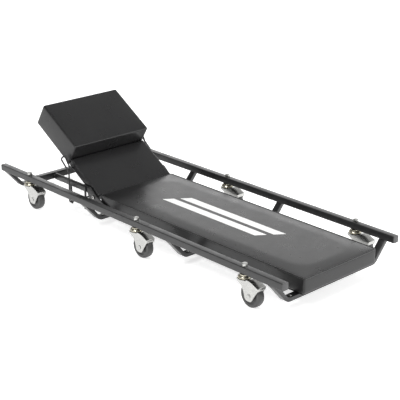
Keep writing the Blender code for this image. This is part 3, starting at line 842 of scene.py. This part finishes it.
def headrest_cover(name, node, span, half, depths, rounding, pressure, cap):
    """A padded cover that is folded round the board's edges, with a window left open under the board."""
    low = REST_BOARD_DEPTHS[0] - WRAP
    size, matrix = headrest_block(span, half, (low, depths[1]))
    mesh = cushion_mesh(size, rounding, spacing=0.0065, pressure=pressure, cap=cap)
    mesh.transform(matrix)
    pocket_depths = (REST_BOARD_DEPTHS[0], depths[0])
    pocket_half = REST_BOARD_HALF - WRAP + GAP / 2
    pocket_size, pocket_place = headrest_block(REST_BOARD_SPAN, pocket_half, pocket_depths)
    window_span = (span[0] + WRAP_UNDER, span[1] - WRAP_UNDER)
    window_size, window_place = headrest_block(window_span, half - WRAP_UNDER, (low - CUT_PAST, depths[0]))
    cutters = []
    for cutter_size, place in ((pocket_size, pocket_place), (window_size, window_place)):
        cutter = box_mesh(-cutter_size / 2, cutter_size / 2)
        cutter.transform(place)
        cutters.append(cutter)
    mesh = cut(mesh, *cutters, *board_holes())
    cover = piece(name, mesh, VINYL, "headrest", [node], sharp=60)


def headrest():
    size, matrix = headrest_block(REST_BOARD_SPAN, REST_BOARD_HALF - WRAP, REST_BOARD_DEPTHS)
    board = box_mesh(-size / 2, size / 2, BOARD_ROUNDING)
    board.transform(matrix)
    board = cut(board, *board_holes())
    piece("headrest_board_panel", board, BOARD, "headrest", ["headrest_board"])
    headrest_cover(
        "back_pad_cover", "back_pad", BACK_PAD_SPAN, REST_BOARD_HALF, BACK_PAD_DEPTHS,
        rounding=0.0035, pressure=3.0, cap=(0.001, 0.0010, 0.0024),
    )
    headrest_cover(
        "head_cushion_cover", "head_cushion", CUSHION_SPAN, CUSHION_HALF, CUSHION_DEPTHS,
        rounding=0.0045, pressure=4.0, cap=(0.004, 0.0035, 0.0045),
    )


def prop_bail():
    """The wire prop: ends in the board, an eye on both sides, two legs and a cross bar."""
    pivot = on_headrest(PROP_PIVOT_ALONG, REST_MID_DEPTH)
    half = [
        ((pivot.x, -PROP_END_Y, pivot.z), 0),
        ((pivot.x, -PROP_PIVOT_Y, pivot.z), 0.004),
        ((-0.3470, -PROP_PIVOT_Y - 0.003, 0.1680), 0.006),
        ((-0.3565, -PROP_LEG_Y + 0.001, 0.1560), 0.006),
        ((-0.3185, -PROP_LEG_Y, 0.124), 0.010),
        ((SEAT_X[0], -PROP_LEG_Y, PROP_BAR_Z), 0.006),
    ]
    mirrored = [((x, -y, z), radius) for (x, y, z), radius in reversed(half)]
    mesh = wire_mesh(rounded(half + mirrored, closed=False, steps=12), WIRE_RADIUS)
    piece("prop_wire", mesh, PAINT, "prop", ["prop_bail"])


# ---------------------------------------------------------------- casters


def fork_mesh():
    """A fork folded from sheet: two cheeks, a sloping top and a round crown."""
    side = [
        ((-0.0140, CROWN_TOP), 0),
        ((-0.0140, 0.0615), 0.002),
        ((0.0020, 0.0520), 0.006),
        ((0.0100, 0.0390), 0.010),
        ((0.0152, 0.0175), 0.011),
        ((0.0360, 0.0175), 0.011),
        ((0.0440, 0.0320), 0.010),
        ((0.0570, 0.0520), 0.001),
        ((0.0570, 0.0590), 0.002),
        ((0.0370, 0.0680), 0.010),
        ((0.0250, 0.0708), 0.006),
        ((0.0182, 0.0705), 0.002),
        ((0.0160, CROWN_TOP), 0),
    ]
    hollow = [
        ((-0.0300, CROWN_BOTTOM), 0),
        ((-0.0300, 0), 0),
        ((0.0552, 0), 0),
        ((0.0552, 0.0570), 0),
        ((0.0365, 0.0655), 0.006),
        ((0.0230, 0.0684), 0.004),
        ((0.0180, CROWN_BOTTOM), 0.001),
    ]
    body = outline_mesh([rounded(side)], -FORK_HALF, FORK_HALF, "Y")
    crown = cylinder_mesh((0, 0, CROWN_BOTTOM), (0, 0, CROWN_TOP), CROWN_RADIUS, 96)
    body = cut(body, crown, operation="UNION")
    inside = outline_mesh([rounded(hollow)], -FORK_INNER_HALF, FORK_INNER_HALF, "Y")
    start, end = (0, 0, CROWN_BOTTOM - CUT_PAST), (0, 0, CROWN_TOP + CUT_PAST)
    stem_hole = cylinder_mesh(start, end, STEM_RADIUS + CLEARANCE)
    start, end = (TRAIL, -FORK_HALF - CUT_PAST, WHEEL_RADIUS), (TRAIL, FORK_HALF + CUT_PAST, WHEEL_RADIUS)
    axle_hole = cylinder_mesh(start, end, AXLE_RADIUS + CLEARANCE)
    return softened(cut(body, inside, stem_hole, axle_hole), 0.0007, 3, 50)


def mirrored_profile(half):
    """The upper half of a (radius, height) profile, closed with its mirror image."""
    return half + [(radius, -height) for radius, height in reversed(half)]


def wheel_mesh():
    """A hub, a dished web and a tread with rounded shoulders."""
    bore = AXLE_RADIUS + CLEARANCE
    edge = WHEEL_HALF - 0.0004
    half = [
        (bore, edge),
        (bore + 0.0004, WHEEL_HALF),
        (0.0081, WHEEL_HALF),
        (0.0086, WHEEL_HALF - 0.0004),
        (0.0095, WHEEL_HALF - 0.0022),
        (0.0105, WHEEL_HALF - 0.0028),
        (0.0195, WHEEL_HALF - 0.0028),
        (0.0208, WHEEL_HALF - 0.0022),
        (0.0222, edge - 0.0003),
        (0.0232, edge),
    ]
    shoulder = ((WHEEL_RADIUS - 0.0010, edge - 0.0004), 0.0028)
    tread = rounded([((0.0232, edge), 0), shoulder, ((WHEEL_RADIUS, 0), 0)], closed=False, steps=8)
    half += [tuple(point) for point in tread[1:-1]]
    half += [(WHEEL_RADIUS, WHEEL_HALF - 0.0065), (WHEEL_RADIUS, 0.0012)]
    return turned_mesh(mirrored_profile(half), (TRAIL, 0, WHEEL_RADIUS), "Y", 96)


def axle_mesh():
    """A rivet through the fork's cheeks, with a domed head on both sides."""
    reach = FORK_HALF + 0.0003
    head = AXLE_RADIUS + 0.0022
    dome = [(head * math.cos(a), reach + 0.0006 + 0.0014 * math.sin(a)) for a in (0.0, 0.3, 0.6, 0.9, 1.2)]
    half = [(0, reach + 0.0020)] + dome[::-1] + [(head, reach), (AXLE_RADIUS, reach)]
    return turned_mesh(mirrored_profile(half), (TRAIL, 0, WHEEL_RADIUS), "Y", 48)


def race_mesh(rail_low):
    """The pressed cup that holds the balls, domed up to the rail."""
    bore, top = STEM_RADIUS + CLEARANCE, rail_low - 0.0003
    corners = [
        ((bore, RACE_BOTTOM), 0),
        ((0.0150, RACE_BOTTOM), 0.0005),
        ((0.0166, RACE_BOTTOM + 0.0006), 0.0012),
        ((0.0172, RACE_BOTTOM + 0.0030), 0.0015),
        ((0.0150, RACE_BOTTOM + 0.0062), 0.0030),
        ((0.0120, RACE_BOTTOM + 0.0078), 0.0010),
        ((0.0118, top), 0.0003),
        ((bore, top), 0),
    ]
    return turned_mesh([tuple(point) for point in rounded(corners, steps=5)], steps=96)


def stem_mesh(rail_high):
    """A riveted end under the fork's crown, a plain shank through the rail and a thread above it."""
    rivet, top = CROWN_BOTTOM - 0.0003, rail_high + 0.0088
    profile = [
        (0, rivet - 0.0036),
        (0.0040, rivet - 0.0035),
        (0.0062, rivet - 0.0028),
        (0.0074, rivet - 0.0014),
        (0.0075, rivet),
        (STEM_RADIUS, rivet),
        (STEM_RADIUS, rail_high),
    ]
    pitch = 0.00125
    count = int((top - rail_high - 0.001) / pitch)
    for i in range(count):
        height = rail_high + 0.0004 + i * pitch
        profile += [(STEM_RADIUS, height), (STEM_RADIUS - 0.0006, height + pitch / 2)]
    profile += [(STEM_RADIUS - 0.0008, top), (0, top)]
    return turned_mesh(profile, steps=48)


def nut_mesh(rail_high):
    """A hexagon nut with chamfered corners and a bored middle."""
    low, high = rail_high + 0.0003, rail_high + 0.0075
    nut = cylinder_mesh((0, 0, low), (0, 0, high), NUT_RADIUS, 6)
    outer = NUT_RADIUS + 0.002
    chamfer = turned_mesh(
        [(NUT_RADIUS - 0.0009, high + 0.001), (outer, high - 0.0013), (outer, high + 0.001)], steps=96
    )
    bore = cylinder_mesh((0, 0, low - 0.01), (0, 0, high + 0.01), STEM_RADIUS + CLEARANCE)
    return softened(cut(nut, chamfer, bore), 0.0002, 2)


def casters():
    """Each piece is modelled once about the swivel axis, and copied to the six casters."""
    rail_low, rail_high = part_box("rail_near")[0].z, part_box("rail_near")[1].z
    parts = {
        "fork": (fork_mesh(), BRIGHT_ZINC, "bright_zinc", "swivel", 40),
        "axle": (axle_mesh(), BRIGHT_ZINC, "bright_zinc", "swivel", 40),
        "wheel": (wheel_mesh(), WHEEL_PLASTIC, "wheel_plastic", "roller", 50),
        "race": (race_mesh(rail_low), YELLOW_ZINC, "yellow_zinc", None, 50),
        "stem": (stem_mesh(rail_high), BRIGHT_ZINC, "bright_zinc", None, 30),
        "nut": (nut_mesh(rail_high), BRIGHT_ZINC, "bright_zinc", None, 25),
    }
    for side in SIDES:
        for row in CASTER_ROWS:
            name = f"caster_{side}_{row}"
            axis = middle(f"{name}_stem")
            for part, (mesh, material, slot, body, sharp) in parts.items():
                copy = mesh.copy()
                copy.transform(Matrix.Translation((axis.x, axis.y, 0)))
                rides = "frame" if body is None else f"{name}_{body}"
                piece(f"{name}_{part}_detail", copy, material, rides, [f"{name}_{part}"], sharp)


# ---------------------------------------------------------------- stage


def camera():
    data = bpy.data.cameras.new("camera")
    data.lens, data.sensor_width = CAMERA_LENS, CAMERA_SENSOR
    data.clip_end = 50
    obj = placed("camera", data)
    obj.location = CAMERA_PLACE
    obj.rotation_euler = (math.radians(90 - CAMERA_ELEVATION), 0, math.radians(CAMERA_AZIMUTH))
    bpy.context.scene.camera = obj


def area_light(name, place, target, size, power):
    data = bpy.data.lights.new(name, "AREA")
    data.shape = "RECTANGLE"
    data.size, data.size_y = size
    data.energy = power
    obj = placed(name, data)
    obj.location = place
    obj.rotation_euler = (Vector(target) - Vector(place)).to_track_quat("-Z", "Y").to_euler()
    return obj


def world():
    """A pale surround: bright near the horizon and on the far side, dimmer overhead and on the near side."""
    surround = bpy.data.worlds.new("studio")
    surround.use_nodes = True
    tree = surround.node_tree
    background = tree.nodes["Background"]
    background.inputs["Color"].default_value = (1, 1, 1, 1)
    direction = tree.nodes.new("ShaderNodeSeparateXYZ")
    tree.links.new(tree.nodes.new("ShaderNodeTexCoord").outputs["Generated"], direction.inputs["Vector"])
    product = tree.nodes.new("ShaderNodeMath")
    product.operation = "MULTIPLY"
    for i, (axis, numbers) in enumerate(SURROUND.items()):
        tree.links.new(map_range(tree, direction.outputs[axis], *numbers), product.inputs[i])
    tree.links.new(product.outputs["Value"], background.inputs["Strength"])
    bpy.context.scene.world = surround


def floor():
    """A plain pale floor. It also gives off light evenly, which the dark pieces reflect as greys."""
    nodes = Nodes("pale_floor", (0.88, 0.88, 0.88), 0.6)
    nodes.gloss(nodes.between(nodes.noise(3, 3), 0.3, 0.7, 0.55, 0.65))
    nodes.shader.inputs["Emission Color"].default_value = (1, 1, 1, 1)
    nodes.shader.inputs["Emission Strength"].default_value = FLOOR_GLOW
    bm = bmesh.new()
    bmesh.ops.create_grid(bm, x_segments=1, y_segments=1, size=FLOOR_HALF)
    mesh = mesh_of(bm, "floor")
    mesh.materials.append(nodes.material)
    placed("floor", mesh)


def studio():
    bpy.context.scene.view_settings.view_transform = "Standard"
    world()
    area_light("overhead", (0.1, 0.1, 2.6), (0, 0, 0), (2.4, 1.6), 30).visible_glossy = False
    area_light("front", (0.4, -1.8, 2.2), (0, 0, 0.1), (1.0, 0.8), 30)
    area_light("foot", (2.6, 0.8, 1.0), (0.3, 0, 0.05), (1.4, 0.9), 14)
    floor()


camera()
studio()
rails()
straps()
strap_screws()
head_bar()
side_plates()
hinge_bolts()
main_pad()
headrest()
prop_bail()
casters()
